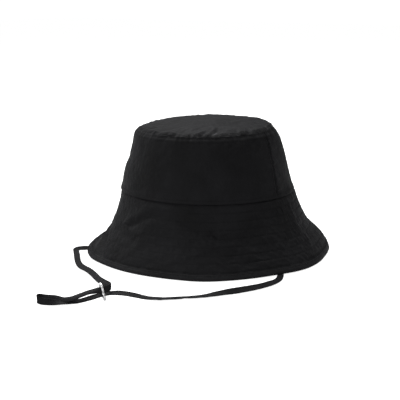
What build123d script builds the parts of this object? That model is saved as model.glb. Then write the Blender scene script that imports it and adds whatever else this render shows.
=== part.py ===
from build123d import *
import os
from math import atan2, cos, degrees, exp, hypot, radians, sin, tan

os.makedirs("parts", exist_ok=True)

# A bucket hat lying on its brim, in millimetres. The origin is on the table under the middle of
# the hat, +Z is up, the wearer faces -Y, and the side seams and the strap's ends are at X- and X+.

# Driving dimensions of the shell
opening_radius = 91.5       # outside of the seam between crown and brim
opening_height = 66.0       # height of that seam above the table
tip_radius = 72.0           # outside of the seam round the top panel
tip_height = 131.0          # height of that seam
tip_rise = 7.0              # how far the top panel domes above its seam
side_bulge = 0.8            # how far the crown's side curves outwards between its seams
brim_radius = 129.0         # outside of the brim's bound edge
brim_sag = 3.5              # how far the brim's slope hollows between seam and edge
panel_sections = 21         # sections in half of the brim

# Cloth thicknesses and the small gap left between two layers
shell_cloth = 0.5
lining_cloth = 0.4
interlining_cloth = 0.6
binding_cloth = 0.4
binding_width = 5.0
layer_gap = 0.12

# Sweatband and the labels sewn to it
sweatband_thickness = 0.9
sweatband_height = 28.0
label_thickness = 0.35
size_label_width, size_label_height = 14.0, 16.0
care_label_width, care_label_height = 22.0, 24.0
care_label_angle = 205.0
label_base = 3.0            # a label starts this far above the sweatband's lower edge

# The edge of the brim rides up where the strap passes under it
strap_lift = 3.4
strap_lift_spread = 12.0    # degrees, the standard deviation of the rise
strap_lift_angles = (-43.0, 69.0)

# Chin strap, drawn as a round of the tape's own section, and the bar tacks over its ends
strap_diameter = 2.5
tack_width, tack_height, tack_depth = 7.0, 3.0, 2.6
tack_base = 1.0             # the tack's foot above the sweatband's lower edge
fold_share = 0.45           # share of the shorter run that an arc of the strap takes up

# Figure-eight slider: two rings on one bar, square to the two strap runs that it holds
slider_ring_radius = 4.9
slider_wall = 1.5
slider_bar = 1.6
slider_thickness = 2.0
slider_round = 0.55
slider_ring_offset = 3.6    # from the bar to each ring's centre
slider_floor_gap = 0.2
route_brim = 129.0          # brim radius that the strap's route is given for, and spreads with
route_spread = brim_radius / route_brim
slider_place = (35.5 * route_spread, -207.5 * route_spread)
slide_angle = 238.0         # direction of the doubled strap from the slider to the loop
leg_offset = 3.8            # from the bar to each strap run
doubled_length = 36.0       # straight doubled strap beyond the slider
doubled_lead = 7.5          # straight strap behind the slider


def around(angle, radius, height):
    """A point at an angle round the hat, from the front towards X+."""
    return (radius * sin(radians(angle)), -radius * cos(radians(angle)), height)


def save(name, shape):
    """Write one piece under its own name."""
    export_step(shape, f"parts/{name}.step")
    print(name, round(shape.volume, 1))


# ---- crown ----
side_run = opening_radius - tip_radius
side_rise = tip_height - opening_height
side_length = hypot(side_run, side_rise)
side_normal = (side_rise / side_length, side_run / side_length)


def side_point(share, depth):
    """Radius and height on the crown's side, by share of its height and depth under the cloth."""
    bulge = side_bulge * 4 * share * (1 - share)
    height = opening_height + side_rise * share
    return (opening_radius - side_run * share + bulge - depth / side_normal[0], height)


def side_shell(depth, thickness, low=0.0, high=1.0, first=-90.0, turn=180.0):
    """A part of the crown's wall: one layer, turned round the axis from one angle."""
    middle = (low + high) / 2
    outer = [side_point(share, depth) for share in (low, middle, high)]
    inner = [side_point(share, depth + thickness) for share in (high, middle, low)]
    section = make_face(
        [
            ThreePointArc(*[(r, 0, z) for r, z in outer]),
            Line((outer[2][0], 0, outer[2][1]), (inner[0][0], 0, inner[0][1])),
            ThreePointArc(*[(r, 0, z) for r, z in inner]),
            Line((inner[2][0], 0, inner[2][1]), (outer[0][0], 0, outer[0][1])),
        ]
    )
    return revolve(Rot(0, 0, first - 90) * section, Axis.Z, turn)


def dome_arc(rim_radius, rim_height):
    """A round arc from a panel's middle to its rim, level in the middle."""
    dome_radius = (rim_radius**2 + tip_rise**2) / (2 * tip_rise)
    halfway = (dome_radius**2 - (rim_radius / 2) ** 2) ** 0.5
    middle = (rim_radius / 2, 0, rim_height + tip_rise - dome_radius + halfway)
    return ThreePointArc((0, 0, rim_height + tip_rise), middle, (rim_radius, 0, rim_height))


def top_shell(thickness, rim_radius, rim_height):
    """A domed round panel that sits on the top edge of a wall."""
    inner_rim = rim_radius - thickness
    rim_top = rim_height + thickness
    section = make_face(
        [
            Line((0, 0, rim_height + tip_rise), (0, 0, rim_top + tip_rise)),
            dome_arc(rim_radius, rim_top),
            Line((rim_radius, 0, rim_top), (rim_radius, 0, rim_height)),
            Line((rim_radius, 0, rim_height), (inner_rim, 0, rim_height)),
            dome_arc(inner_rim, rim_height),
        ]
    )
    return revolve(section, Axis.Z, 360)


lining_depth = shell_cloth + layer_gap
sweatband_depth = lining_depth + lining_cloth + layer_gap
label_depth = sweatband_depth + sweatband_thickness + layer_gap
lining_top = 1.0 - (lining_cloth + layer_gap) / side_rise
sweatband_top = sweatband_height / side_rise

save("crown_side_front", side_shell(0, shell_cloth, first=-90))
save("crown_side_back", side_shell(0, shell_cloth, first=90))
save("crown_lining_front", side_shell(lining_depth, lining_cloth, high=lining_top, first=-90))
save("crown_lining_back", side_shell(lining_depth, lining_cloth, high=lining_top, first=90))
save("sweatband", side_shell(sweatband_depth, sweatband_thickness, 0, sweatband_top, 180, 360))

save("crown_tip", top_shell(shell_cloth, tip_radius, tip_height))
lining_rim_radius = side_point(1, lining_depth)[0]
lining_rim_height = side_point(lining_top, lining_depth)[1]
save("crown_tip_lining", top_shell(lining_cloth, lining_rim_radius, lining_rim_height))


def label(width, height, angle):
    """A blank woven label lying on the inside of the sweatband."""
    low = label_base / side_rise
    high = (label_base + height) / side_rise
    turn = degrees(width / side_point(low, label_depth)[0])
    return side_shell(label_depth, label_thickness, low, high, angle - turn / 2, turn)


save("size_label", label(size_label_width, size_label_height, 180))
save("care_label", label(care_label_width, care_label_height, care_label_angle))

# ---- brim ----
under_cloth = lining_cloth
interlining_depth = shell_cloth + layer_gap
under_depth = interlining_depth + interlining_cloth + layer_gap
brim_thickness = under_depth + under_cloth
binding_wrap = layer_gap + binding_cloth
slope = atan2(opening_height, brim_radius - opening_radius)
edge_radius = brim_radius - binding_wrap * (sin(slope) + cos(slope))
edge_height = (brim_thickness + binding_wrap) * cos(slope) + binding_wrap * sin(slope)


def edge_lift(angle):
    """How far the edge of the brim stands off the table at one angle."""
    rise = 0
    for middle in strap_lift_angles:
        away = (angle - middle + 180) % 360 - 180
        rise += strap_lift * exp(-0.5 * (away / strap_lift_spread) ** 2)
    return rise


def brim_point(angle, share, depth, beyond=0.0):
    """A point on the brim, from its seam (share 0) to its edge (1), under the upper cloth."""
    run = edge_radius - opening_radius
    drop = opening_height - edge_height - edge_lift(angle)
    length = hypot(run, drop)
    inward = depth + brim_sag * 4 * share * (1 - share)
    radius = opening_radius + run * share - inward * drop / length + beyond * run / length
    height = opening_height - drop * share - inward * run / length - beyond * drop / length
    return Vector(*around(angle, radius, height))


def brim_section(angle, depth, thickness):
    """One layer of the brim, cut at one angle."""
    upper = [brim_point(angle, share, depth) for share in (0, 0.5, 1)]
    lower = [brim_point(angle, share, depth + thickness) for share in (1, 0.5, 0)]
    return make_face(
        [
            ThreePointArc(*upper),
            Line(upper[2], lower[0]),
            ThreePointArc(*lower),
            Line(lower[2], upper[0]),
        ]
    )


def binding_section(angle):
    """The folded strip round the brim's edge, cut at one angle."""
    brim_length = hypot(edge_radius - opening_radius, opening_height - edge_height)
    start = 1 - binding_width / brim_length
    top, bottom = -binding_wrap, brim_thickness + binding_wrap
    upper, lower = -layer_gap, brim_thickness + layer_gap
    corners = [
        brim_point(angle, start, top),
        brim_point(angle, 1, top, layer_gap),
        brim_point(angle, 1, top + binding_cloth, binding_wrap),
        brim_point(angle, 1, bottom - binding_cloth, binding_wrap),
        brim_point(angle, 1, bottom, layer_gap),
        brim_point(angle, start, bottom),
        brim_point(angle, start, lower),
        brim_point(angle, 1, lower, layer_gap),
        brim_point(angle, 1, upper, layer_gap),
        brim_point(angle, start, upper),
    ]
    return make_face(Polyline(*corners, close=True))


def half_brim(first, section):
    """Loft one section through half a turn."""
    step = 180 / (panel_sections - 1)
    return loft([section(first + step * index) for index in range(panel_sections)])


for side, first in (("front", -90), ("back", 90)):
    save(f"upper_brim_{side}", half_brim(first, lambda a: brim_section(a, 0, shell_cloth)))
    save(
        f"brim_interlining_{side}",
        half_brim(first, lambda a: brim_section(a, interlining_depth, interlining_cloth)),
    )
    save(f"under_brim_{side}", half_brim(first, lambda a: brim_section(a, under_depth, under_cloth)))

save("brim_edge_binding", half_brim(-90, binding_section) + half_brim(90, binding_section))

# ---- chin strap and its bar tacks ----
tack_foot = opening_height + tack_base
tack_outer = side_point((tack_base + tack_height) / side_rise, label_depth)[0]
strap_end_radius = tack_outer - strap_diameter / 2 - layer_gap

for name, sign in (("bar_tack_left", 1), ("bar_tack_right", -1)):
    place = Pos(sign * (tack_outer - tack_depth / 2), 0, tack_foot + tack_height / 2)
    save(name, place * Box(tack_depth, tack_width, tack_height))

slide_direction = (cos(radians(slide_angle)), sin(radians(slide_angle)))
slider_height = slider_floor_gap + slider_ring_radius + slider_ring_offset


def on_slide(distance, height):
    """A point on the straight doubled strap, by its distance past the slider."""
    return (
        slider_place[0] + distance * slide_direction[0],
        slider_place[1] + distance * slide_direction[1],
        height,
    )


def spread(points):
    """Points of the route, moved out or in with the brim's radius."""
    return [(x * route_spread, y * route_spread, z) for x, y, z in points]


upper_run = slider_height + leg_offset
lower_run = slider_height - leg_offset
left_run = [
    (-88, -10, 12),
    (-86, -34, 1.6),
    (-83, -62, 1.5),
    (-86, -88, 1.5),
    (-91, -108, 3),
    (-71, -127, 2.6),
    (-51, -142, 2.3),
    (-35, -151, 2.4),
    (-12, -167, 4.5),
    (8, -181.5, 7.6),
    (24, -191, 10.6),
    (35, -196, 12.2),
]
loop_run = [
    (5.5, -238.5, 6.5),
    (-5.3, -239.3, 3.5),
    (-8.3, -244.6, 2.6),
    (-3.3, -249, 2.2),
    (5, -245, 2),
]
right_run = [
    (46, -197.5, 8),
    (56, -191.5, 6),
    (67, -184.5, 2.4),
    (79, -172, 1.5),
    (90, -159, 1.5),
    (102.5, -146, 1.8),
    (111, -133, 2.6),
    (119, -121, 2.4),
    (126, -104, 2.6),
    (131, -85, 2.2),
    (130, -66, 1.7),
    (122, -49, 1.5),
    (108, -29, 1.5),
    (94, -10, 2.2),
    (88, -1, 13),
]
strap_route = [(-strap_end_radius, 0, tack_foot), (-strap_end_radius, 0, 40)]
strap_route += spread(left_run)
strap_route += [on_slide(-doubled_lead, upper_run), on_slide(doubled_length, upper_run)]
strap_route += spread(loop_run)
strap_route += [on_slide(doubled_length, lower_run), on_slide(-doubled_lead, lower_run)]
strap_route += spread(right_run)
strap_route += [(strap_end_radius, 0, 40), (strap_end_radius, 0, tack_foot)]


def fold_radii(points):
    """The radius at each corner of the route, as large as its two runs allow."""
    radii = []
    for before, corner, after in zip(points, points[1:], points[2:]):
        come = Vector(*corner) - Vector(*before)
        leave = Vector(*after) - Vector(*corner)
        turn = radians(come.get_angle(leave))
        radii.append(fold_share * min(come.length, leave.length) / tan(turn / 2))
    return radii


radii = fold_radii(strap_route)
strap_path = FilletPolyline(*strap_route, radius=radii)
start_plane = Plane(origin=strap_path @ 0, z_dir=strap_path % 0)
chin_strap = sweep(start_plane * Circle(strap_diameter / 2), path=strap_path)
save("chin_strap", chin_strap)
print("strap length", round(strap_path.length, 1), "radii", [round(r, 1) for r in radii])
section_area = Circle(strap_diameter / 2).area
print("strap volume over section x length", chin_strap.volume / (section_area * strap_path.length))

# ---- slider ----
ring_places = [(0, sign * slider_ring_offset) for sign in (-1, 1)]
outline = Sketch() + [Pos(*place) * Circle(slider_ring_radius) for place in ring_places]
windows = Sketch() + [Pos(*place) * Circle(slider_ring_radius - slider_wall) for place in ring_places]
windows -= Rectangle(2 * slider_ring_radius, slider_bar)
slider = extrude(outline - windows, slider_thickness / 2, both=True)
slider = fillet(slider.edges().filter_by(GeomType.CIRCLE), slider_round)
slider_plane = Plane(
    origin=(slider_place[0], slider_place[1], slider_height),
    x_dir=(-slide_direction[1], slide_direction[0], 0),
    z_dir=(slide_direction[0], slide_direction[1], 0),
)
save("strap_slider", slider_plane * slider)
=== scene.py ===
import math

import bmesh
import bpy
import numpy as np
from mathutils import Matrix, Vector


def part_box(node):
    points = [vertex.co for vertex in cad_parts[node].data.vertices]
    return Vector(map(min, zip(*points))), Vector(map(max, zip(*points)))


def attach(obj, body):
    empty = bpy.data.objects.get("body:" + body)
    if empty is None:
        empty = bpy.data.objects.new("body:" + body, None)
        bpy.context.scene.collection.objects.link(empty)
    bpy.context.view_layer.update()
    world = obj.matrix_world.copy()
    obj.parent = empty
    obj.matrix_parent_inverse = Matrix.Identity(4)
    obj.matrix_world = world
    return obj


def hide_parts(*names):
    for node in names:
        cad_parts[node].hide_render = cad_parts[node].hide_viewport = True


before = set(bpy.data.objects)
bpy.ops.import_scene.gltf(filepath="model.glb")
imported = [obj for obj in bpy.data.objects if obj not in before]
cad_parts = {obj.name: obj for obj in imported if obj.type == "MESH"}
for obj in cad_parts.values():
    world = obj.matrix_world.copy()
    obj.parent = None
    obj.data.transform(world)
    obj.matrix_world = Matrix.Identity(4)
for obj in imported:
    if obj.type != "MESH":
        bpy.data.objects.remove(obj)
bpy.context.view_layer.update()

mm = 0.001

# sizes that the whole hat shares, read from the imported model
sideLow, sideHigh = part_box("crown_side_front")
tipLow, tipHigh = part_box("crown_tip")
bindingLow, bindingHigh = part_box("brim_edge_binding")
seamRadius = sideHigh[0]  # outside of the crown and brim seam
seamHeight = sideLow[2]
tipRadius = tipHigh[0]
tipHeight = sideHigh[2]
brimRadius = bindingHigh[0]
viewedFrom = 36.0  # degrees from the hat's front, where its leaning and folds are told from


def aroundHat(angle, radius, height):
    turn = np.radians(angle)  # from the front towards +X
    return np.stack([radius * np.sin(turn), -radius * np.cos(turn), height + 0 * turn], axis=-1)


def bump(x, middle, spread):
    return np.exp(-0.5 * ((x - middle) / spread) ** 2)


def squared(wave, power):
    # a sine or cosine pushed towards 1 and -1, for a section with fuller corners
    return np.sign(wave) * np.abs(wave) ** power


def angleFrom(angle, middle):
    return (angle - middle + 180.0) % 360.0 - 180.0


def smoothStep(x, low, high):
    t = np.clip((x - low) / (high - low), 0.0, 1.0)
    return t * t * (3 - 2 * t)


def softNoise(x, y, seed, around=256):
    # smooth noise from -1 to 1, on a lattice that repeats after this many cells of x
    lattice = np.random.RandomState(seed).uniform(-1, 1, (around, 256))
    x, y = x + 0 * y, y + 0 * x
    x0, y0 = np.floor(x).astype(int), np.floor(y).astype(int)
    fx, fy = x - x0, y - y0
    fx, fy = fx * fx * (3 - 2 * fx), fy * fy * (3 - 2 * fy)
    left, right, below, above = x0 % around, (x0 + 1) % around, y0 % 256, (y0 + 1) % 256
    near = lattice[left, below] * (1 - fx) + lattice[right, below] * fx
    far = lattice[left, above] * (1 - fx) + lattice[right, above] * fx
    return near * (1 - fy) + far * fy


crown = {
    "cloth": 0.5 * mm,
    "lining": 0.4 * mm,
    "gap": 0.15 * mm,
    "overhang": 0.9 * mm,  # the side's lower hem stands proud of the brim
    "hemDrop": 0.6 * mm,
    "sideBulge": 1.2 * mm,
    "allowance": 3.5 * mm,  # turned in under the top panel
    "rimIn": 2.0 * mm,  # the top edge is drawn in and down by its seam
    "rimDown": 2.1 * mm,
    "leanSideways": 0.95,  # degrees
    "leanForwards": 0.9,
    "slump": -1.8 * mm,  # the top has shifted towards its left, seen from the front
    "seamDrift": 5.5,  # degrees
    "topstitch": (1.9 * mm, 5.0 * mm),  # rows below the seam with the top panel
    "tipStitch": 3.4,  # millimetres from the top panel's seam to its stitched row
    "innerWrinkles": 0.6,  # share of the wrinkles that the inner layers take up
}
sideHeight = tipHeight - seamHeight
tipRise = tipHigh[2] - tipLow[2] - crown["cloth"]


def crownLean(points):
    # the soft crown leans a little, more towards its top
    share = np.clip((points[..., 2] - seamHeight) / sideHeight, 0, 1.2)
    front = math.radians(viewedFrom)
    nearer = points[..., 0] * math.sin(front) - points[..., 1] * math.cos(front)
    across = points[..., 0] * math.cos(front) + points[..., 1] * math.sin(front)
    rise = across * math.radians(crown["leanSideways"]) - nearer * math.radians(crown["leanForwards"])
    leaned = points.copy()
    leaned[..., 0] += crown["slump"] * share * math.cos(front)
    leaned[..., 1] += crown["slump"] * share * math.sin(front)
    leaned[..., 2] += rise * share
    return leaned


# dents and swells: angle, its spread, share of the height, its spread, millimetres outwards
sideShapes = [
    (-54, 26, 0.93, 0.09, 1.5), (-54, 20, 0.30, 0.14, 1.3), (-54, 20, 0.50, 0.05, -0.7),
    (126, 22, 0.18, 0.24, -2.5), (126, 20, 0.99, 0.07, -1.6),
]
brimShapes = [
    (126, 24, 0.30, 0.22, -3.6), (126, 22, 0.72, 0.20, 1.9), (126, 22, 0.59, 0.12, -3.2),
    (-54, 16, 0.78, 0.11, -1.9),
]


def shaped(angle, share, shapes):
    out = 0 * angle * share
    for middle, spread, height, rise, amount in shapes:
        out = out + amount * mm * bump(angleFrom(angle, middle), 0, spread) * bump(share, height, rise)
    return out


def seamNearness(angle, width):
    # 1 on the two side seams, falling to 0 over a width in degrees
    return bump(angleFrom(angle, 90), 0, width) + bump(angleFrom(angle, -90), 0, width)


def sideWrinkles(angle, share):
    # slack cloth: soft upright waves, gathers under the top seam, and a seam ridge
    turn = angle / 360
    down = (1 - share) * sideHeight / mm
    waves = 0.45 * softNoise(turn * 24, down / 38, 11, 24) + 0.28 * softNoise(turn * 57, down / 16, 12, 57)
    fine = 0.12 * softNoise(turn * 130, down / 3.2, 17, 130)
    gathers = softNoise(turn * 160, down / 9, 13, 160) * np.exp(-down / 5.0)
    sewn = sum(bump(down, row / mm, 0.6) for row in crown["topstitch"])
    slanting = softNoise(turn * 80 + down / 5.5, down / 5.0 - turn * 12, 14, 80)
    slanting = slanting * bump(angleFrom(angle, 62), 0, 24) * bump(down, 11, 8)
    low = 0.3 * softNoise(turn * 43, down / 9, 15, 43) * bump(down, 58, 8)
    seam = 0.5 * seamNearness(angle, 2.4) - 1.0 * seamNearness(angle, 0.5)
    pull = 0.7 * softNoise(down / 2.6, 2, 16) * (seamNearness(angle, 3.4) - 0.6 * seamNearness(angle, 0.6))
    return (waves + fine + 0.8 * gathers + 0.9 * slanting + low + seam + pull - 0.25 * sewn) * mm


def seamDrift(angle, share):
    # towards the hem the side seams run a little forwards
    left, right = bump(angleFrom(angle, -90), 0, 25), bump(angleFrom(angle, 90), 0, 25)
    return crown["seamDrift"] * (1 - share) * (left - right)


def sideRadius(angle, share, wrinkled=1.0):
    bulge = crown["sideBulge"] * 4 * share * (1 - share)
    proud = crown["overhang"] * (1 - smoothStep(share, 0.0, 0.1))
    drawnIn = crown["rimIn"] * smoothStep(share, 0.92, 1.0) ** 1.6
    radius = seamRadius + (tipRadius - seamRadius) * share + bulge + proud - drawnIn
    radius = radius + wrinkled * sideWrinkles(angle, share) * smoothStep(share, 0.0, 0.05)
    return radius + shaped(angle + seamDrift(angle, share), share, sideShapes)


def sideSurface(angle, share, depth=0.0, wrinkled=1.0):
    # share 0 at the lower hem and 1 at the seam with the top panel, and past 1 in the turned-in allowance
    turnedIn = np.maximum(share - 1, 0) * sideHeight
    share = np.minimum(share, 1)
    radius = sideRadius(angle, share, wrinkled) - depth - turnedIn
    height = seamHeight + (sideHeight - crown["rimDown"]) * share - depth * smoothStep(share, 0.9, 1)
    height = height - crown["hemDrop"] * (1 - smoothStep(share, 0, 0.08))
    height = height - 0.5 * mm * smoothStep(turnedIn, 0, 0.8 * mm)
    return crownLean(aroundHat(angle + seamDrift(angle, share), radius, height))


def tipWrinkles(angle, reach):
    inward = (1 - reach) * tipRadius / mm
    turn = (angle - 0.5 * inward) / 360  # pleats fan in from the seam at a slant
    gathers = softNoise(turn * 138, inward / 9, 21, 138) * np.exp(-inward / 6.5)
    rays = softNoise(turn * 84, inward / 26, 24, 84) * np.exp(-(((inward - 10) / 12) ** 2))
    rays = rays * (0.45 + 1.1 * bump(angleFrom(angle, 18), 0, 42))
    flat = aroundHat(angle, reach * tipRadius, 0) / mm
    slack = softNoise(flat[..., 0] / 15, flat[..., 1] / 15, 22)
    slack = slack + 0.5 * softNoise(flat[..., 0] / 6, flat[..., 1] / 8, 23)
    groove = bump(inward, crown["tipStitch"], 0.7) * 0.3
    return (0.95 * gathers + 1.15 * rays + 0.6 * slack * smoothStep(inward, 1, 12) - groove) * mm


def tipSurface(angle, reach, depth=0.0, wrinkled=1.0):
    # reach 0 in the middle and 1 at the seam
    rimRadius = sideRadius(angle, 1 + 0 * angle) + 0.25 * mm - depth
    dome = tipRise * (1 - reach**2) ** 1.25 - 0.4 * mm
    rollOff = crown["rimDown"] * smoothStep(reach, 0.93, 1.0) ** 1.7
    dome = dome - 1.4 * mm * bump(angleFrom(angle, -62), 0, 30) * smoothStep(reach, 0.45, 0.9)
    height = tipHeight + crown["cloth"] + dome - rollOff - depth
    height = height + wrinkled * tipWrinkles(angle, reach) * smoothStep(1 - reach, 0, 0.012)
    return crownLean(aroundHat(angle, rimRadius * reach, height))


brim = {
    "cloth": 0.5 * mm,
    "interlining": 0.5 * mm,
    "under": 0.4 * mm,
    "gap": 0.15 * mm,
    "binding": 0.45 * mm,
    "bindingWidth": 5.0 * mm,
    "bindingGap": 0.12 * mm,
    "bindingStitch": 3.7,  # millimetres from the edge to the row through the binding
    "tuckUnder": 0.9 * mm,  # the brim starts this far inside the crown's hem
    "hollow": 4.0 * mm,
    "strapAngles": (-43.0, 69.0),
    "edgeOut": 1.2 * mm,
    "strapLift": 0.8 * mm,
    "strapSpread": 9.0,
    "rowSpacing": 8.2 * mm,
    "firstRow": 7.4 * mm,  # from the edge
    "rows": 8,
}
brimThickness = brim["cloth"] + brim["interlining"] + brim["under"] + 2 * brim["gap"]
wrap = brim["binding"] + 0.1 * mm
slope = math.atan2(seamHeight, brimRadius - seamRadius)
edgeRadius = brimRadius - wrap * (math.sin(slope) + math.cos(slope))
edgeHeight = (brimThickness + wrap) * math.cos(slope) + 0.9 * wrap * math.sin(slope) + 0.1 * mm
brimLength = math.hypot(edgeRadius - seamRadius, seamHeight - edgeHeight)
halfwayRadius = 0.11  # halfway down the brim
degreeLength = halfwayRadius * math.radians(1)

# on the left the brim flares out flatter, beyond a ridge that runs down and forwards
flare = {
    "middle": -64,
    "spread": 17,
    "hollow": 7.5 * mm,
    "crest": -40.5,  # where the ridge starts, and at which share of the slope
    "start": 0.645,
    "forwards": 40.0,  # degrees over the whole slope
    "height": 1.8 * mm,
    "gentle": 11 * mm,  # width of its far side
    "sharp": 3 * mm,
    "valley": 4.2 * mm,  # depth of the hollow in front of it
    "valleyAt": 10 * mm,
    "valleyWidth": 6.5 * mm,
}
edgeShapes = [(-64, 13, -3.4), (-30, 6, 1.8), (34, 9, 3.2), (80, 10, 2.6), (110, 9, -1.6)]
# soft creases, each a run of (angle, share) points with its depth and the swell above it;
# a depth below zero makes a ridge
creases = [
    {"run": [(-13, 0.40), (-4, 0.28), (3, 0.20), (12, 0.19), (20, 0.23), (28, 0.31), (39, 0.40)],
     "depth": 0.9 * mm, "width": 3.6 * mm, "swell": 1.0 * mm, "above": 9 * mm},
    {"run": [(-40, 0.50), (-28, 0.50), (-18, 0.53), (-6, 0.58)],
     "depth": 0.6 * mm, "width": 4 * mm, "swell": 0.6 * mm, "above": 8 * mm},
    {"run": [(36, 0.66), (46, 0.68), (54, 0.78)],
     "depth": 0.9 * mm, "width": 7.0 * mm, "swell": 0.5 * mm, "above": 9 * mm},
    {"run": [(36, 0.40), (38, 0.37), (40, 0.42)],
     "depth": 1.0 * mm, "width": 2.2 * mm, "swell": 0.4 * mm, "above": 5 * mm},
    {"run": [(97, 0.04), (95, 0.28), (95, 0.42), (98, 0.66)],
     "depth": -1.0 * mm, "width": 4.5 * mm, "swell": 0.0, "above": 5 * mm},
]


def edgeLift(angle):
    rise = 0 * angle
    for middle in brim["strapAngles"]:
        rise = rise + brim["strapLift"] * bump(angleFrom(angle, middle), 0, brim["strapSpread"])
    return rise


def edgeReach(angle):
    # the edge isn't quite a circle
    reach = brim["edgeOut"] + 0 * angle
    for middle, spread, amount in edgeShapes:
        reach = reach + amount * mm * bump(angleFrom(angle, middle), 0, spread)
    return reach


def slopeHollow(angle, share):
    depth = brim["hollow"] + flare["hollow"] * bump(angleFrom(angle, flare["middle"]), 0, flare["spread"])
    depth = depth - 2.2 * mm * bump(angleFrom(angle, 126), 0, 30)
    return depth * 4 * share * (1 - share)


def flareRidge(local, share):
    crest = flare["crest"] + flare["forwards"] * (share - flare["start"])
    inFront = (local - crest) * degreeLength
    width = np.where(inFront < 0, flare["gentle"], flare["sharp"])
    ridge = flare["height"] * np.exp(-np.abs(inFront) / width)
    valley = flare["valley"] * np.exp(-(((inFront - flare["valleyAt"]) / flare["valleyWidth"]) ** 2))
    grows = smoothStep(share, flare["start"] - 0.17, flare["start"] + 0.05)
    return (ridge - valley) * grows * (1 - smoothStep(share, 0.87, 0.99))


def creaseShape(angle, share, crease):
    # distance to the crease's run, and how far above it a point lies
    across, down = angle * degreeLength, share * brimLength
    nearest, above = np.full(np.shape(across + down), 1.0), np.zeros(np.shape(across + down))
    for (a0, s0), (a1, s1) in zip(crease["run"], crease["run"][1:]):
        x0, y0 = a0 * degreeLength, s0 * brimLength
        x1, y1 = a1 * degreeLength, s1 * brimLength
        dx, dy = x1 - x0, y1 - y0
        t = np.clip(((across - x0) * dx + (down - y0) * dy) / (dx * dx + dy * dy), 0, 1)
        gapX, gapY = across - x0 - t * dx, down - y0 - t * dy
        distance = np.hypot(gapX, gapY)
        closer = distance < nearest
        above = np.where(closer, -gapY, above)
        nearest = np.where(closer, distance, nearest)
    valley = crease["depth"] * np.exp(-((nearest / crease["width"]) ** 2))
    middle = crease["above"]
    swell = crease["swell"] * np.exp(-(((nearest - middle) / (0.6 * middle)) ** 2)) * (above > 0)
    return swell - valley


def brimFolds(angle, share):
    local = angleFrom(angle, viewedFrom) + viewedFrom
    folds = flareRidge(local, share)
    for crease in creases:
        folds = folds + creaseShape(local, share, crease)
    turn, down = angle / 360, share * brimLength / mm
    slack = 0.6 * softNoise(turn * 27, down / 18, 31, 27) + 0.3 * softNoise(turn * 63, down / 9, 32, 63)
    return (folds + slack * mm) * smoothStep(share, 0.0, 0.12) * (1 - 0.7 * smoothStep(share, 0.9, 1))


def brimSurface(angle, share, depth=0.0, beyond=0.0):
    run = edgeRadius + edgeReach(angle) - seamRadius
    drop = seamHeight - edgeHeight - edgeLift(angle)
    length = np.hypot(run, drop)
    tuck = brim["tuckUnder"] * (1 - smoothStep(share, 0.0, 0.05))
    inward = depth + slopeHollow(angle, share) + tuck - brimFolds(angle, share)
    inward = inward - shaped(angle, share, brimShapes) * smoothStep(1 - share, 0, 0.1)
    radius = seamRadius + run * share - inward * drop / length + beyond * run / length
    height = seamHeight - drop * share - inward * run / length - beyond * drop / length
    return aroundHat(angle, radius, height)


def quilting(angle, share):
    # between the stitched rows the cloth puffs up and is pulled into short slanting puckers
    local = angleFrom(angle, viewedFrom) + viewedFrom
    turn = angle / 360
    fromEdge = (1 - share) * brimLength
    cell = (fromEdge - brim["firstRow"]) / brim["rowSpacing"]
    row = np.floor(cell)
    within = cell - row
    toRow = np.minimum(within, 1 - within) * brim["rowSpacing"] / mm
    inRows = smoothStep(cell, -0.45, -0.1) * (1 - smoothStep(cell, brim["rows"] - 1.0, brim["rows"] - 0.7))
    uneven = 0.8 + 0.7 * softNoise(turn * 70, row * 3 + 0.5, 44, 70)
    groove = np.exp(-((toRow / 0.65) ** 2)) * inRows * uneven
    aboveBinding = np.exp(-(((fromEdge - brim["bindingWidth"]) / mm - 0.7) ** 2))
    puffed = 1 - np.exp(-((toRow / 1.3) ** 2))
    slant = 2.4 * (within - 0.5)
    puckers = softNoise(turn * 220 + 0.25 * slant + row * 17, row * 7 + 1.3 * within, 41, 220)
    puckers = puckers + 0.6 * softNoise(turn * 420 + 0.5 * slant + row * 31, row * 5 + 2.2 * within, 42, 420)
    ripples = softNoise(turn * 53, fromEdge / mm / 1.5, 43, 53)
    lively = 0.22 + 0.78 * bump(local, 60, 26) * smoothStep(share, 0.25, 0.6)
    lively = lively + 0.4 * bump(local, 88, 12)
    rowsShow = 0.2 + 0.8 * smoothStep(local, 30, 62) + 0.7 * bump(local, -58, 16)
    stitched = rowsShow * (0.06 * puffed - 0.42 * groove) - 0.28 * aboveBinding
    ripples = 0.14 * bump(local, 18, 18) * ripples
    return (stitched + 0.8 * lively * puckers * puffed + ripples * puffed) * mm


def placeObject(name, data):
    item = bpy.data.objects.new(name, data)
    bpy.context.scene.collection.objects.link(item)
    return item


def newPiece(name, points, faces, uv=None):
    mesh = bpy.data.meshes.new(name)
    mesh.from_pydata(points.tolist(), [], faces)
    if uv is not None:
        layer = mesh.uv_layers.new(name="clothMap")
        corner = np.empty(len(mesh.loops), dtype=np.int32)
        mesh.loops.foreach_get("vertex_index", corner)
        layer.data.foreach_set("uv", uv[corner].astype(np.float32).ravel())
    mesh.polygons.foreach_set("use_smooth", [True] * len(mesh.polygons))
    return placeObject(name, mesh)


def outwards(piece, weld=0.0):
    shape = bmesh.new()
    shape.from_mesh(piece.data)
    if weld:
        bmesh.ops.remove_doubles(shape, verts=shape.verts, dist=weld)
    bmesh.ops.recalc_face_normals(shape, faces=shape.faces)
    shape.to_mesh(piece.data)
    shape.free()
    return piece


def gridFaces(columns, rows, closed, start, tube=False):
    # vertex index is start + column * rows + row, and a tube's rows close too
    c, r = np.meshgrid(np.arange(columns if closed else columns - 1),
                       np.arange(rows if tube else rows - 1), indexing="ij")
    a, b = start + c * rows, start + (c + 1) % columns * rows
    up = (r + 1) % rows
    return np.stack([a + r, b + r, b + up, a + up], axis=-1).reshape(-1, 4)


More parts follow.
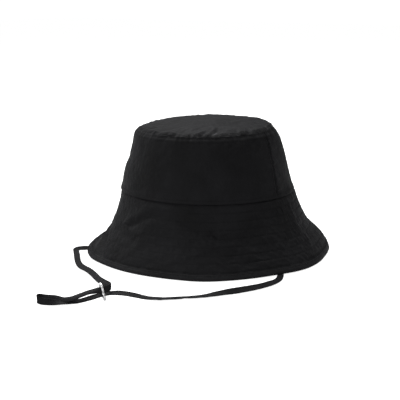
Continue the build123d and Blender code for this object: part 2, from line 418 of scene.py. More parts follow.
def clothShell(name, outer, inner, closed, uv):
    # two matching grids of points become one closed sheet of cloth
    columns, rows = outer.shape[:2]
    offset = columns * rows
    quads = [gridFaces(columns, rows, closed, 0), gridFaces(columns, rows, closed, offset)[:, ::-1]]
    c = np.arange(columns if closed else columns - 1)
    n = (c + 1) % columns
    for row in (0, rows - 1):
        edge = [c * rows + row, n * rows + row, offset + n * rows + row, offset + c * rows + row]
        quads.append(np.stack(edge, axis=-1))
    if not closed:
        r = np.arange(rows - 1)
        for column in (0, columns - 1):
            base = column * rows + r
            quads.append(np.stack([base, base + 1, offset + base + 1, offset + base], axis=-1))
    points = np.concatenate([outer.reshape(-1, 3), inner.reshape(-1, 3)])
    uvs = np.concatenate([uv.reshape(-1, 2), uv.reshape(-1, 2)])
    return outwards(newPiece(name, points, np.concatenate(quads).tolist(), uvs), weld=1e-6)


def panelGrid(first, last, columns, rows, closed=False):
    angles = np.linspace(first, last, columns, endpoint=not closed)
    return np.meshgrid(angles, np.linspace(0, 1, rows), indexing="ij")


def newFinish(name):
    finish = bpy.data.materials.new(name)
    finish.use_nodes = True
    return finish, finish.node_tree, finish.node_tree.nodes["Principled BSDF"]


def noiseNode(tree, vector, scale, detail=3.0, rough=0.5):
    noise = tree.nodes.new("ShaderNodeTexNoise")
    noise.inputs["Scale"].default_value = scale
    noise.inputs["Detail"].default_value = detail
    noise.inputs["Roughness"].default_value = rough
    tree.links.new(vector, noise.inputs["Vector"])
    return noise.outputs["Fac"]


def rampNode(tree, factor, low, high, start=0.3, end=0.7):
    ramp = tree.nodes.new("ShaderNodeValToRGB")
    ramp.color_ramp.elements[0].position = start
    ramp.color_ramp.elements[1].position = end
    ramp.color_ramp.elements[0].color = (*low, 1)
    ramp.color_ramp.elements[1].color = (*high, 1)
    tree.links.new(factor, ramp.inputs["Fac"])
    return ramp.outputs["Color"]


def rangeNode(tree, factor, low, high):
    spread = tree.nodes.new("ShaderNodeMapRange")
    spread.inputs["To Min"].default_value = low
    spread.inputs["To Max"].default_value = high
    tree.links.new(factor, spread.inputs["Value"])
    return spread.outputs["Result"]


def bumpNode(tree, height, distance, strength, below=None):
    relief = tree.nodes.new("ShaderNodeBump")
    relief.inputs["Strength"].default_value = strength
    relief.inputs["Distance"].default_value = distance
    tree.links.new(height, relief.inputs["Height"])
    if below is not None:
        tree.links.new(below, relief.inputs["Normal"])
    return relief.outputs["Normal"]


def weaveHeight(tree, uv, pitch, twill=False):
    # crossed thread waves: plain weave along the map's axes, or one slanting wave for twill
    waves = []
    for direction in (("DIAGONAL",) if twill else ("X", "Y")):
        wave = tree.nodes.new("ShaderNodeTexWave")
        wave.bands_direction = direction
        wave.inputs["Scale"].default_value = 0.314 / pitch
        wave.inputs["Distortion"].default_value = 0.4
        tree.links.new(uv, wave.inputs["Vector"])
        waves.append(wave.outputs["Fac"])
    if twill:
        return waves[0]
    cross = tree.nodes.new("ShaderNodeMath")
    cross.operation = "MAXIMUM"
    tree.links.new(waves[0], cross.inputs[0])
    tree.links.new(waves[1], cross.inputs[1])
    return cross.outputs[0]


def clothFinish(name, look):
    finish, tree, shader = newFinish(name)
    place = tree.nodes.new("ShaderNodeTexCoord")
    patches = noiseNode(tree, place.outputs["Object"], look.get("patchScale", 25), 4)
    colour = rampNode(tree, patches, look["dark"], look["light"])
    tree.links.new(colour, shader.inputs["Base Color"])
    shader.inputs["IOR"].default_value = look.get("ior", 1.16)
    shader.inputs["Sheen Weight"].default_value = look["sheen"]
    shader.inputs["Sheen Roughness"].default_value = look.get("sheenRough", 0.4)
    shader.inputs["Sheen Tint"].default_value = (0.82, 0.84, 0.92, 1)
    worn = noiseNode(tree, place.outputs["Object"], 90, 3)
    gloss = rangeNode(tree, worn, look["rough"] - 0.07, look["rough"] + 0.07)
    tree.links.new(gloss, shader.inputs["Roughness"])
    slackness = noiseNode(tree, place.outputs["Object"], 60, 3, 0.55)
    normal = bumpNode(tree, slackness, 2.2 * look["crinkle"], 0.6)
    crinkle = noiseNode(tree, place.outputs["Object"], look.get("crinkleScale", 210), 5, 0.6)
    normal = bumpNode(tree, crinkle, look["crinkle"], 0.7, normal)
    if "weave" in look:
        weave = weaveHeight(tree, place.outputs["UV"], look["weave"], look.get("twill", False))
        normal = bumpNode(tree, weave, look.get("thread", 0.06) * mm, 0.5, normal)
    tree.links.new(normal, shader.inputs["Normal"])
    return finish


shellNylon = clothFinish("shellNylon", {
    "dark": (0.0076, 0.0076, 0.0081), "light": (0.0132, 0.0132, 0.0145), "rough": 0.62,
    "sheen": 0.02, "crinkle": 1.0 * mm, "weave": 0.4 * mm})
bindingNylon = clothFinish("bindingNylon", {
    "dark": (0.0105, 0.0105, 0.0112), "light": (0.0155, 0.0155, 0.0168), "rough": 0.58,
    "sheen": 0.03, "crinkle": 0.5 * mm, "weave": 0.4 * mm})
liningTaffeta = clothFinish("liningTaffeta", {
    "dark": (0.014, 0.014, 0.015), "light": (0.02, 0.02, 0.022), "rough": 0.42,
    "sheen": 0.2, "crinkle": 0.25 * mm, "weave": 0.3 * mm})
stiffInterlining = clothFinish("stiffInterlining", {
    "dark": (0.3, 0.3, 0.29), "light": (0.38, 0.38, 0.37), "rough": 0.9,
    "sheen": 0.1, "crinkle": 0.2 * mm, "weave": 0.5 * mm})
bandTwill = clothFinish("bandTwill", {
    "dark": (0.013, 0.013, 0.014), "light": (0.018, 0.018, 0.02), "rough": 0.7,
    "sheen": 0.35, "crinkle": 0.15 * mm, "weave": 0.7 * mm, "twill": True, "thread": 0.12})
labelSatin = clothFinish("labelSatin", {
    "dark": (0.035, 0.035, 0.038), "light": (0.045, 0.045, 0.048), "rough": 0.35,
    "sheen": 0.3, "crinkle": 0.1 * mm, "weave": 0.3 * mm})
strapTape = clothFinish("strapTape", {
    "dark": (0.010, 0.010, 0.011), "light": (0.017, 0.017, 0.0185), "rough": 0.55,
    "sheen": 0.03, "crinkle": 0.4 * mm, "crinkleScale": 300, "weave": 0.4 * mm})
sewingThread = clothFinish("sewingThread", {
    "dark": (0.004, 0.004, 0.0043), "light": (0.006, 0.006, 0.0065), "rough": 0.7,
    "sheen": 0.02, "crinkle": 0.05 * mm})


def metalFinish(name):
    finish, tree, shader = newFinish(name)
    place = tree.nodes.new("ShaderNodeTexCoord")
    shader.inputs["Metallic"].default_value = 0.85
    tint = rampNode(tree, noiseNode(tree, place.outputs["Object"], 300, 3),
                    (0.86, 0.86, 0.87), (0.97, 0.97, 0.98))
    tree.links.new(tint, shader.inputs["Base Color"])
    gloss = rangeNode(tree, noiseNode(tree, place.outputs["Object"], 900, 2), 0.24, 0.4)
    tree.links.new(gloss, shader.inputs["Roughness"])
    ripple = noiseNode(tree, place.outputs["Object"], 500, 2)
    tree.links.new(bumpNode(tree, ripple, 0.05 * mm, 0.4), shader.inputs["Normal"])
    return finish


sliderMetal = metalFinish("sliderMetal")


def finishPiece(piece, finish, slotName, *nodes):
    # give the piece its material and its body, and hide the CAD nodes that it stands for
    piece.data.materials.clear()
    piece.data.materials.append(finish)
    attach(piece, "hat")
    if nodes:
        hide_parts(*nodes)
    return piece


view = {
    "azimuth": viewedFrom + 0.51,
    "distance": 1.0,
    "height": 0.2703,
    "down": 12.42,
    "lens": 86.67,
    "skyLight": 0.165,  # what the hat receives from all round
    "skySeen": 1.1,  # how bright the camera sees the backdrop
    "floorGlow": 0.865,
}


def placeCamera():
    data = bpy.data.cameras.new("camera")
    camera = placeObject("camera", data)
    turn = math.radians(viewedFrom)
    camera.location = (view["distance"] * math.sin(turn), -view["distance"] * math.cos(turn), view["height"])
    camera.rotation_euler = (math.radians(90 - view["down"]), 0, math.radians(view["azimuth"]))
    data.lens = view["lens"]
    data.sensor_width = 36
    data.clip_start = 0.02
    bpy.context.scene.camera = camera


lamps = {
    # name: (angle round the hat, distance, height, size, watts)
    "topBox": (-124, 0.65, 1.2, 0.7, 13.0),
    "leftBox": (-80, 1.3, 0.8, 0.7, 5.0),
    "rightBox": (148, 0.9, 1.4, 0.6, 6.0),
    "frontBox": (10, 1.5, 0.9, 1.0, 9.5),
}


def placeLamps():
    for name, (angle, distance, height, size, watts) in lamps.items():
        data = bpy.data.lights.new(name, "AREA")
        data.shape = "SQUARE"
        data.size = size
        data.energy = watts
        lamp = placeObject(name, data)
        x, y, z = aroundHat(np.float64(angle), distance, height)
        lamp.location = (x, y, z)
        aim = -np.array([x, y, z - 0.07])
        lamp.rotation_euler = (math.atan2(math.hypot(aim[0], aim[1]), -aim[2]), 0,
                               math.atan2(aim[1], aim[0]) - math.pi / 2)


def placeFloor():
    size = 6.0
    mesh = bpy.data.meshes.new("floor")
    corners = [(-size, -size, 0), (size, -size, 0), (size, size, 0), (-size, size, 0)]
    mesh.from_pydata(corners, [], [(0, 1, 2, 3)])
    floor = placeObject("floor", mesh)
    finish, tree, shader = newFinish("whiteFloor")
    shader.inputs["Base Color"].default_value = (0.8, 0.8, 0.8, 1)
    shader.inputs["Roughness"].default_value = 0.9
    shader.inputs["Specular IOR Level"].default_value = 0.1
    shader.inputs["Emission Color"].default_value = (1, 1, 1, 1)
    seen = tree.nodes.new("ShaderNodeLightPath")
    glow = tree.nodes.new("ShaderNodeMath")
    glow.operation = "MULTIPLY"
    glow.inputs[1].default_value = view["floorGlow"]
    tree.links.new(seen.outputs["Is Camera Ray"], glow.inputs[0])
    tree.links.new(glow.outputs[0], shader.inputs["Emission Strength"])
    mesh.materials.append(finish)
    world = bpy.data.worlds.new("studio")
    world.use_nodes = True
    sky = world.node_tree.nodes["Background"]
    sky.inputs["Color"].default_value = (1, 1, 1, 1)
    seen = world.node_tree.nodes.new("ShaderNodeLightPath")
    level = rangeNode(world.node_tree, seen.outputs["Is Camera Ray"], view["skyLight"], view["skySeen"])
    world.node_tree.links.new(level, sky.inputs["Strength"])
    bpy.context.scene.world = world
    bpy.context.scene.view_settings.view_transform = "Standard"


placeCamera()
placeLamps()
placeFloor()
print("stage: camera, lamps and floor")

strap = {
    "width": 6.3 * mm,
    "thickness": 0.95 * mm,
    "sections": 14,  # points round the tape
    "step": 0.9 * mm,  # between two sections along it
    "wrinkle": 0.22 * mm,
    "stitchedAt": 0.72,  # share of the half width where its two rows run
    "flatAt": 0.4,  # curled edges rise and the middle sinks, either side of this
}
# the route's points in order, each with the tape's turn about its own line in degrees
# (0 lies flat and 90 stands on its edge) and how far its two edges curl, in millimetres
strapRoute = [
    ((-0.08637, 0, 0.067), 0, 0.0),
    ((-0.08637, 0, 0.040), 0, 0.2),
    ((-0.0880, -0.0100, 0.0120), 0, 0.3),
    ((-0.0860, -0.0340, 0.0016), 0, 0.2),
    ((-0.0830, -0.0620, 0.0014), 4, 0.1),
    ((-0.0860, -0.0870, 0.0028), 22, 0.2),
    ((-0.0886, -0.1000, 0.0048), 32, 0.4),
    ((-0.0902, -0.1100, 0.0056), 20, 0.5),
    ((-0.0830, -0.1165, 0.0050), 0, 0.5),
    ((-0.0741, -0.1249, 0.0042), -16, 0.5),
    ((-0.0600, -0.1385, 0.0034), -20, 0.4),
    ((-0.0470, -0.1480, 0.0032), -24, 0.4),
    ((-0.0320, -0.1530, 0.0036), -26, 0.4),
    ((-0.0127, -0.1656, 0.0052), -34, 0.5),
    ((0.0080, -0.1815, 0.0078), -44, 0.6),
    ((0.0240, -0.1915, 0.0104), -52, 0.6),
    ((0.0360, -0.1975, 0.0116), -66, 0.7),
    ((0.0402, -0.2015, 0.0116), -90, 0.7),
    ((0.0366, -0.2058, 0.0108), -122, 0.6),
    ((0.0329, -0.2117, 0.0104), -146, 0.5),
    ((0.0286, -0.2185, 0.0097), -163, 0.4),
    ((0.0244, -0.2253, 0.0076), -162, 0.4),
    ((0.0200, -0.2308, 0.0052), -158, 0.4),
    ((0.0130, -0.2352, 0.0038), -146, 0.4),
    ((0.0040, -0.2358, 0.0042), -130, 0.4),
    ((-0.0045, -0.2385, 0.0033), -128, 0.3),
    ((-0.0085, -0.2435, 0.0050), -106, 0.2),
    ((-0.0055, -0.2475, 0.0036), -74, 0.2),
    ((0.0010, -0.2462, 0.0030), -56, 0.2),
    ((0.0070, -0.2425, 0.0026), -42, 0.3),
    ((0.0145, -0.2375, 0.0023), -19, 0.4),
    ((0.0218, -0.2307, 0.0025), -16, 0.5),
    ((0.0270, -0.2240, 0.0030), -15, 0.5),
    ((0.0310, -0.2150, 0.0045), -22, 0.6),
    ((0.0345, -0.2085, 0.0056), -14, 0.7),
    ((0.0385, -0.2040, 0.0064), -14, 0.7),
    ((0.0455, -0.1990, 0.0074), -24, 0.5),
    ((0.0550, -0.1922, 0.0060), -24, 0.4),
    ((0.0670, -0.1845, 0.0026), -12, 0.3),
    ((0.0790, -0.1720, 0.0012), -2, 0.2),
    ((0.0900, -0.1590, 0.0012), 4, 0.2),
    ((0.1025, -0.1460, 0.0014), -6, 0.3),
    ((0.1110, -0.1330, 0.0026), -30, 0.4),
    ((0.1190, -0.1210, 0.0032), -46, 0.4),
    ((0.1260, -0.1040, 0.0028), -34, 0.4),
    ((0.1310, -0.0850, 0.0024), -28, 0.5),
    ((0.1300, -0.0660, 0.0014), -12, 0.3),
    ((0.1220, -0.0490, 0.0007), 0, 0.1),
    ((0.1080, -0.0290, 0.0012), 0, 0.0),
    ((0.0940, -0.0100, 0.0022), 0, 0.2),
    ((0.0880, -0.0010, 0.0130), 0, 0.3),
    ((0.08637, 0, 0.040), 0, 0.2),
    ((0.08637, 0, 0.067), 0, 0.0),
]


def strapLine():
    # points along the route's own smooth spline, evenly spaced
    data = bpy.data.curves.new("strapRoute", "CURVE")
    data.dimensions = "3D"
    data.resolution_u = 24
    spline = data.splines.new("NURBS")
    spline.points.add(len(strapRoute) - 1)
    for point, (place, _, _) in zip(spline.points, strapRoute):
        point.co = (*place, 1)
    spline.order_u = 3
    spline.use_endpoint_u = True
    carrier = placeObject("strapRoute", data)
    line = bpy.data.meshes.new_from_object(carrier)
    points = np.array([v.co[:] for v in line.vertices])
    bpy.data.objects.remove(carrier)
    steps = np.linalg.norm(np.diff(points, axis=0), axis=1)
    along = np.concatenate([[0], np.cumsum(steps)])
    keep = np.concatenate([[True], steps > 1e-7])
    points, along = points[keep], along[keep]
    count = int(along[-1] / strap["step"])
    even = np.linspace(0, along[-1], count)
    smooth = np.stack([np.interp(even, along, points[:, k]) for k in range(3)], axis=-1)
    return smooth, even


def alongStrap(line, even):
    # turn and curl at each point of the line, eased between the route's points
    marks = []
    last = 0
    for place, _, _ in strapRoute:
        window = line[last:last + 260]  # far enough ahead to reach the next point
        last += int(np.argmin(np.linalg.norm(window - np.array(place), axis=1)))
        marks.append(even[last])
    marks = np.maximum.accumulate(np.array(marks) + np.arange(len(marks)) * 1e-6)
    turn = np.interp(even, marks, [row[1] for row in strapRoute])
    curl = np.interp(even, marks, [row[2] for row in strapRoute])
    ease = np.hanning(9) / np.hanning(9).sum()

    def soften(values):
        return np.convolve(np.pad(values, 4, mode="edge"), ease, mode="valid")

    return soften(turn), soften(curl) * mm


def makeStrap():
    line, even = strapLine()
    turn, curl = alongStrap(line, even)
    ahead = np.gradient(line, axis=0)
    ahead /= np.linalg.norm(ahead, axis=1)[:, None]
    sideways = np.zeros_like(ahead)
    side = np.array([0.0, 1.0, 0.0])
    for i, forward in enumerate(ahead):
        level = np.cross(forward, [0, 0, 1.0])
        if np.linalg.norm(level) > 0.35:
            side = side * 0.7 + level / np.linalg.norm(level) * 0.3
        else:  # on its way up to the band the tape turns to lie along it
            side = side * 0.9 + np.array([0, math.copysign(0.1, side[1]), 0])
        side = side - forward * np.dot(side, forward)
        side /= np.linalg.norm(side)
        sideways[i] = side
    upright = np.cross(sideways, ahead)
    upright *= np.sign(upright[:, 2:3] + 1e-9)
    roll = np.radians(turn)[:, None]
    width = np.cos(roll) * sideways + np.sin(roll) * upright
    normal = -np.sin(roll) * sideways + np.cos(roll) * upright
    n = strap["sections"]
    phase = 2 * np.pi * (np.arange(n) + 0.5) / n
    x, y = squared(np.cos(phase), 0.55), squared(np.sin(phase), 0.75)
    wrinkle = softNoise(even[:, None] / (4.5 * mm), x[None, :] * 1.2 + 5, 51)
    wrinkle = wrinkle + 0.5 * softNoise(even[:, None] / (2.0 * mm), x[None, :] * 1.6 + 15, 52)
    # the stitched rows sink in
    inset = 0.16 * mm * np.exp(-(((np.abs(x) - strap["stitchedAt"]) / 0.08) ** 2))
    across = x[None, :] * strap["width"] / 2 * (1 + 0.03 * softNoise(even[:, None] / (9 * mm), 3, 53))
    up = y[None, :] * (strap["thickness"] / 2 - inset[None, :])
    up = up + curl[:, None] * (x[None, :] ** 2 - strap["flatAt"])
    up = up + strap["wrinkle"] * wrinkle * (1 - 0.3 * x[None, :] ** 2)
    points = line[:, None, :] + across[..., None] * width[:, None, :] + up[..., None] * normal[:, None, :]
    points[..., 2] = np.maximum(points[..., 2], 0.15 * mm)
    m = len(line)
    faces = gridFaces(n, m, True, 0)
    caps = [[c * m for c in range(n)], [c * m + m - 1 for c in range(n)]]
    grid = points.transpose(1, 0, 2).reshape(-1, 3)
    uv = np.stack(np.meshgrid((x + 1) * strap["width"] / 2, even, indexing="ij"), axis=-1)
    piece = outwards(newPiece("chinStrap", grid, faces.tolist() + caps, uv.reshape(-1, 2)))
    finishPiece(piece, strapTape, "strap_tape", "chin_strap")
    rows = []
    for share in (-strap["stitchedAt"], strap["stitchedAt"]):
        lift = strap["thickness"] / 2 - 0.1 * mm + curl[:, None] * (share**2 - strap["flatAt"])
        rows.append(line + width * share * strap["width"] / 2 + normal * lift)
    return piece, line, even[-1], rows


chinStrap, strapPath, strapLength, strapRows = makeStrap()
print("stage: chin strap, length", round(strapLength * 1000), "mm")

slider = {
    "wire": (1.5 * mm, 2.0 * mm),  # across the ring, and along the strap
    "bar": 0.85 * mm,
    "lean": 13.0,  # degrees, its top towards the loop
    "way": 238.0,  # degrees, the direction of the doubled strap
    "askew": -2.0,
    "round": 72,  # points round a ring, round its wire, and along the bar
    "tube": 20,
    "barSteps": 12,
}


def makeSlider():
    low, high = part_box("strap_slider")
    middle = [(a + b) / 2 for a, b in zip(low, high)]
    across, along = slider["wire"][0] / 2, slider["wire"][1] / 2
    heading = math.radians(slider["way"])
    ringRadius = math.hypot(high[0] - low[0] - 2 * along * abs(math.cos(heading)),
                            high[1] - low[1] - 2 * along * abs(math.sin(heading))) / 2
    offset = (high[2] - low[2]) / 2 - ringRadius
    line = ringRadius - across
    around, tube = slider["round"], slider["tube"]
    spin = np.linspace(0, 2 * np.pi, tube, endpoint=False)
    turn, phase = np.meshgrid(np.linspace(0, 2 * np.pi, around, endpoint=False), spin, indexing="ij")
    points, faces = [], []
    for side in (-1, 1):
        radius = line + across * squared(np.cos(phase), 0.75)
        depth = along * squared(np.sin(phase), 0.75)
        ring = np.stack([radius * np.sin(turn), depth, side * offset + radius * np.cos(turn)], axis=-1)
        faces += gridFaces(around, tube, True, len(points) * around * tube, tube=True).tolist()
        points.append(ring.reshape(-1, 3))
    start = len(points) * around * tube
    ends = np.linspace(-line, line, slider["barSteps"])
    bar = np.stack([ends[:, None] + 0 * spin, slider["bar"] * np.cos(spin) + 0 * ends[:, None],
                    slider["bar"] * np.sin(spin) + 0 * ends[:, None]], axis=-1)
    faces += gridFaces(slider["barSteps"], tube, False, start, tube=True).tolist()
    last = start + (slider["barSteps"] - 1) * tube
    faces += [list(range(start, start + tube)), list(range(last, last + tube))]
    points.append(bar.reshape(-1, 3))
    points = np.concatenate(points)
    lean, way = math.radians(slider["lean"]), math.radians(slider["way"] + slider["askew"])
    forward = points[:, 1] * math.cos(lean) + points[:, 2] * math.sin(lean)
    height = points[:, 2] * math.cos(lean) - points[:, 1] * math.sin(lean)
    placed = np.stack([middle[0] + forward * math.cos(way) + points[:, 0] * math.sin(way),
                       middle[1] + forward * math.sin(way) - points[:, 0] * math.cos(way),
                       middle[2] + height], axis=-1)
    piece = outwards(newPiece("strapSlider", placed, faces))
    piece.data.materials.append(sliderMetal)
    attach(piece, "slider")
    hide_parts("strap_slider")
    return piece


strapSlider = makeSlider()
print("stage: slider")

crownGrids = {
    "side": (300, 76),
    "tip": (420, 60),
    "lining": (150, 30),
    "tipLining": (180, 30),
    "band": (440, 14),
    "label": (30, 20),
}
halves = {"front": (-90, 90), "back": (90, 270)}
depths = {"lining": crown["cloth"] + crown["gap"]}
depths["band"] = depths["lining"] + crown["lining"] + crown["gap"]
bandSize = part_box("sweatband")
bandRise = bandSize[1][2] - bandSize[0][2]
bandCloth = 0.9 * mm
label = {"gap": 0.12 * mm, "cloth": 0.3 * mm, "droop": 0.5 * mm}


def sideMap(angle, share):
    return np.stack([np.radians(angle) * seamRadius, share * sideHeight], axis=-1)


def makeCrownSide(half, first, last):
    layers = [
        ("crownSide", shellNylon, "shell_nylon", "crown_side_", "side", 0.0, crown["cloth"]),
        ("crownLining", liningTaffeta, "lining_taffeta", "crown_lining_", "lining",
         depths["lining"], crown["lining"]),
    ]
    for title, finish, slotName, node, grid, depth, cloth in layers:
        angle, share = panelGrid(first, last, *crownGrids[grid])
        share = share * (1 + crown["allowance"] / sideHeight)
        outer = sideSurface(angle, share, depth)
        inner = sideSurface(angle, share, depth + cloth)
        piece = clothShell(title + half.capitalize(), outer, inner, False, sideMap(angle, share))
        finishPiece(piece, finish, slotName, node + half)


def tipMap(angle, reach):
    return aroundHat(angle, tipRadius * reach, 0)[..., :2]


def makeCrownTip():
    angle, reach = panelGrid(0, 360, *crownGrids["tip"], closed=True)
    reach = 1 - (1 - reach) ** 1.5  # closer rings near the seam
    outer = tipSurface(angle, reach)
    inner = tipSurface(angle, reach, crown["cloth"])
    piece = clothShell("crownTip", outer, inner, True, tipMap(angle, reach))
    finishPiece(piece, shellNylon, "shell_nylon", "crown_tip")
    angle, reach = panelGrid(0, 360, *crownGrids["tipLining"], closed=True)
    outer = tipSurface(angle, reach, depths["lining"], crown["innerWrinkles"])
    inner = tipSurface(angle, reach, depths["lining"] + crown["lining"], crown["innerWrinkles"])
    lining = clothShell("crownTipLining", outer, inner, True, tipMap(angle, reach))
    finishPiece(lining, liningTaffeta, "lining_taffeta", "crown_tip_lining")


def makeSweatband():
    angle, share = panelGrid(0, 360, *crownGrids["band"], closed=True)
    rise = share * bandRise / sideHeight
    rounding = 0.25 * mm * (1 - 4 * share * (1 - share)) ** 4
    outer = sideSurface(angle, rise, depths["band"] + rounding, crown["innerWrinkles"])
    inner = sideSurface(angle, rise, depths["band"] + bandCloth - rounding, crown["innerWrinkles"])
    piece = clothShell("sweatband", outer, inner, True, sideMap(angle, rise))
    finishPiece(piece, bandTwill, "sweatband_twill", "sweatband")


def makeLabel(node, name):
    low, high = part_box(node)
    middle = [(a + b) / 2 for a, b in zip(low, high)]
    facing = math.degrees(math.atan2(middle[0], -middle[1]))
    reach = seamRadius - depths["band"] - bandCloth - label["gap"]
    sideways = max(high[0] - low[0], high[1] - low[1])
    half = math.degrees(sideways / 2 / reach)
    angle, share = panelGrid(facing - half, facing + half, *crownGrids["label"])
    start = (low[2] - seamHeight) / sideHeight
    rise = start + share * (high[2] - low[2]) / sideHeight
    droop = label["droop"] * softNoise(angle / 9, share * 2, 61) * share * (1 - share) * 4
    depth = depths["band"] + bandCloth + label["gap"] + np.abs(droop)
    outer = sideSurface(angle, rise, depth, crown["innerWrinkles"])
    inner = sideSurface(angle, rise, depth + label["cloth"], crown["innerWrinkles"])
    piece = clothShell(name, outer, inner, False, sideMap(angle, rise))
    finishPiece(piece, labelSatin, "label_satin", node)


for half, (first, last) in halves.items():
    makeCrownSide(half, first, last)
makeCrownTip()
makeSweatband()
makeLabel("size_label", "sizeLabel")
makeLabel("care_label", "careLabel")
print("stage: crown")

# the plies share one grid, so none cuts through another
brimGrids = {"ply": (380, 86), "binding": (840, 22)}
underTop = brim["cloth"] + brim["interlining"] + 2 * brim["gap"]


def brimMap(angle, share):
    return np.stack([np.radians(angle) * halfwayRadius, share * brimLength], axis=-1)


def makeBrim(half, first, last):
    angle, share = panelGrid(first, last, *brimGrids["ply"])
    quilted = quilting(angle, share)
    top = brim["cloth"] + brim["gap"]
    bottom = underTop + brim["under"] + 0.6 * quilted
    plies = [
        ("upperBrim", shellNylon, "shell_nylon", "upper_brim_", -quilted, brim["cloth"]),
        ("brimInterlining", stiffInterlining, "stiff_interlining", "brim_interlining_",
         top, top + brim["interlining"]),
        ("underBrim", shellNylon, "shell_nylon", "under_brim_", underTop, bottom),
    ]
    for title, finish, slotName, node, outside, inside in plies:
        outer = brimSurface(angle, share, outside)
        inner = brimSurface(angle, share, inside)
        piece = clothShell(title + half.capitalize(), outer, inner, False, brimMap(angle, share))
        finishPiece(piece, finish, slotName, node + half)


def bindingSurface(angle, along, proud):
    # along runs from the fold's upper end, round the brim's edge, to its lower end
    width, turn = brim["bindingWidth"], math.pi * brimThickness / 2
    run = along * (2 * width + turn)
    onTop = run < width
    below = run > width + turn
    swing = np.clip((run - width) / turn, 0, 1) * math.pi
    inward = np.where(onTop, width - run, np.where(below, run - width - turn, 0))
    half = brimThickness / 2
    outside = proud > 0.2 * mm  # only the outer face is full and puckered
    full = 0.3 * mm * np.sin(math.pi * np.clip(inward / width, 0, 1)) * outside
    depth = half - (half + proud + full) * np.cos(swing)
    beyond = (half + proud) * np.sin(swing) * 0.6
    local = angle / 360
    puckers = 0.12 * softNoise(local * 300, along * 3, 71, 300)
    puckers = puckers + 0.2 * softNoise(local * 90, along * 4, 72, 90)
    stitchLine = np.exp(-(((inward / mm - brim["bindingStitch"]) / 0.5) ** 2))
    ripple = puckers * (1 + 1.5 * stitchLine) - 0.22 * stitchLine
    depth = depth - ripple * mm * np.where(below, -1, 1) * outside
    return brimSurface(angle, 1 - inward / brimLength, depth, beyond)


bindingAcross = 12.5 * mm  # the binding laid flat, for its weave


def makeBinding():
    angle, along = panelGrid(0, 360, *brimGrids["binding"], closed=True)
    inner = bindingSurface(angle, along, brim["bindingGap"])
    outer = bindingSurface(angle, along, brim["binding"] + brim["bindingGap"])
    uv = np.stack([np.radians(angle) * brimRadius, along * bindingAcross], axis=-1)
    piece = clothShell("brimEdgeBinding", outer, inner, True, uv)
    finishPiece(piece, bindingNylon, "binding_nylon", "brim_edge_binding")


for half, (first, last) in halves.items():
    makeBrim(half, first, last)
makeBinding()
print("stage: brim")

stitch = {
    "plain": (2.6 * mm, 2.0 * mm, 0.22 * mm),  # spacing, length and thread
    "tack": (0.9 * mm, 1.9 * mm, 0.34 * mm),
    "strap": (2.2 * mm, 1.7 * mm, 0.16 * mm),
}
tack = {"bars": 9, "rungs": (0.25, 0.5, 0.75), "sunk": 0.7 * mm, "rungsSunk": 0.35 * mm}


def stitchTree():
    tree = bpy.data.node_groups.new("stitchesAlong", "GeometryNodeTree")
    face = tree.interface
    face.new_socket(name="Geometry", in_out="INPUT", socket_type="NodeSocketGeometry")
    for label in ("Spacing", "Length", "Thread"):
        face.new_socket(name=label, in_out="INPUT", socket_type="NodeSocketFloat")
    face.new_socket(name="Geometry", in_out="OUTPUT", socket_type="NodeSocketGeometry")
    node = {}
    kinds = {"start": "NodeGroupInput", "end": "NodeGroupOutput", "places": "GeometryNodeCurveToPoints",
             "shape": "GeometryNodeMeshUVSphere", "size": "ShaderNodeCombineXYZ", "half": "ShaderNodeMath",
             "put": "GeometryNodeInstanceOnPoints", "real": "GeometryNodeRealizeInstances",
             "paint": "GeometryNodeSetMaterial"}
    for key, kind in kinds.items():
        node[key] = tree.nodes.new(kind)
    node["places"].mode = "LENGTH"
    node["half"].operation = "MULTIPLY"
    node["half"].inputs[1].default_value = 0.5
    node["shape"].inputs["Segments"].default_value = 6
    node["shape"].inputs["Rings"].default_value = 4
    node["shape"].inputs["Radius"].default_value = 1.0
    node["paint"].inputs["Material"].default_value = sewingThread
    wires = [("start", "Geometry", "places", "Curve"), ("start", "Spacing", "places", "Length"),
             ("start", "Length", "half", 0), ("half", 0, "size", "Z"),
             ("start", "Thread", "size", "X"), ("start", "Thread", "size", "Y"),
             ("places", "Points", "put", "Points"),
             ("places", "Rotation", "put", "Rotation"), ("shape", "Mesh", "put", "Instance"),
             ("size", "Vector", "put", "Scale"), ("put", "Instances", "real", "Geometry"),
             ("real", "Geometry", "paint", "Geometry"), ("paint", "Geometry", "end", "Geometry")]
    for source, out, target, into in wires:
        tree.links.new(node[source].outputs[out], node[target].inputs[into])
    return tree


stitchesAlong = stitchTree()


def sew(name, lines, kind="plain"):
    data = bpy.data.curves.new(name, "CURVE")
    data.dimensions = "3D"
    for line, closed in lines:
        spline = data.splines.new("POLY")
        spline.points.add(len(line) - 1)
        flat = np.concatenate([line, np.ones((len(line), 1))], axis=1)
        spline.points.foreach_set("co", flat.ravel())
        spline.use_cyclic_u = closed
    guide = placeObject(name + "Guide", data)
    sewing = guide.modifiers.new("stitches", "NODES")
    sewing.node_group = stitchesAlong
    sizes = dict(zip(("Spacing", "Length", "Thread"), stitch[kind]))
    for item in stitchesAlong.interface.items_tree:
        if item.in_out == "INPUT" and item.name in sizes:
            sewing[item.identifier] = sizes[item.name]
    shown = guide.evaluated_get(bpy.context.evaluated_depsgraph_get())
    mesh = bpy.data.meshes.new_from_object(shown)
    mesh.name = name
    piece = placeObject(name, mesh)
    bpy.data.objects.remove(guide)
    mesh.polygons.foreach_set("use_smooth", [True] * len(mesh.polygons))
    return finishPiece(piece, sewingThread, "tack_thread")


def roundLine(surface, share, *more):
    # a closed row all round the hat at one share of a surface
    angle = np.linspace(0, 360, 720, endpoint=False)
    return surface(angle, share + 0 * angle, *more), True


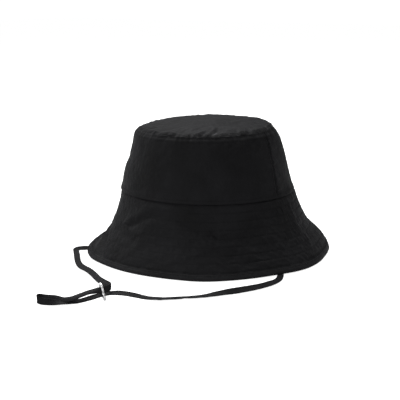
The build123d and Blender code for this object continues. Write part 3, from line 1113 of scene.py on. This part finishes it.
def sewBrim():
    upper, under = [], []
    for row in range(brim["rows"]):
        share = 1 - (brim["firstRow"] + row * brim["rowSpacing"]) / brimLength
        upper.append(roundLine(brimSurface, share, 0.12 * mm))
        under.append(roundLine(brimSurface, share, underTop + brim["under"] - 0.05 * mm))
    sew("upperBrimStitches", upper)
    sew("underBrimStitches", under)
    width = brim["bindingWidth"] / mm
    lead = (width - brim["bindingStitch"]) / (2 * width + math.pi * brimThickness / mm / 2)
    proud = brim["binding"] + 0.14 * mm
    sew("bindingStitches", [roundLine(bindingSurface, along, proud) for along in (lead, 1 - lead)])


def sewCrown():
    above = -0.02 * mm
    low = 3.0 * mm / sideHeight
    lines = [roundLine(sideSurface, low, above),
             roundLine(tipSurface, 1 - crown["tipStitch"] * mm / tipRadius, above)]
    for drop in crown["topstitch"]:
        lines.append(roundLine(sideSurface, 1 - drop / sideHeight, above))
    share = np.linspace(low, 1 - crown["topstitch"][1] / sideHeight, 80)
    for seam in (90, -90):
        for away in (-1.6, 1.6):
            lines.append((sideSurface(seam + away + 0 * share, share, above), False))
    sew("crownStitches", lines)
    depth = depths["band"] + bandCloth
    sew("sweatbandStitches", [
        roundLine(sideSurface, rise * mm / sideHeight, depth, crown["innerWrinkles"])
        for rise in (1.8, bandRise / mm - 1.8)])


def makeTack(node, name):
    low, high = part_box(node)
    lines = []
    inside = 1 if low[0] < 0 else -1
    face = high[0] if inside > 0 else low[0]
    for bar in range(tack["bars"]):
        y = low[1] + (bar + 0.5) / tack["bars"] * (high[1] - low[1])
        z = np.linspace(low[2] + 0.2 * mm, high[2] - 0.2 * mm, 4)
        lines.append((np.stack([0 * z + (face - inside * tack["sunk"]), 0 * z + y, z], axis=-1), False))
    for rise in tack["rungs"]:
        y = np.linspace(low[1] + 0.4 * mm, high[1] - 0.4 * mm, 6)
        z = low[2] + rise * (high[2] - low[2])
        lines.append((np.stack([0 * y + face - inside * tack["rungsSunk"], y, 0 * y + z], axis=-1), False))
    piece = sew(name, lines, "tack")
    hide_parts(node)


sewBrim()
sewCrown()
makeTack("bar_tack_left", "barTackLeft")
makeTack("bar_tack_right", "barTackRight")
# the rows stop short of the strap's sewn-in ends
strapStitches = sew("strapStitches", [(row[6:-6], False) for row in strapRows], "strap")
print("stage: stitches")
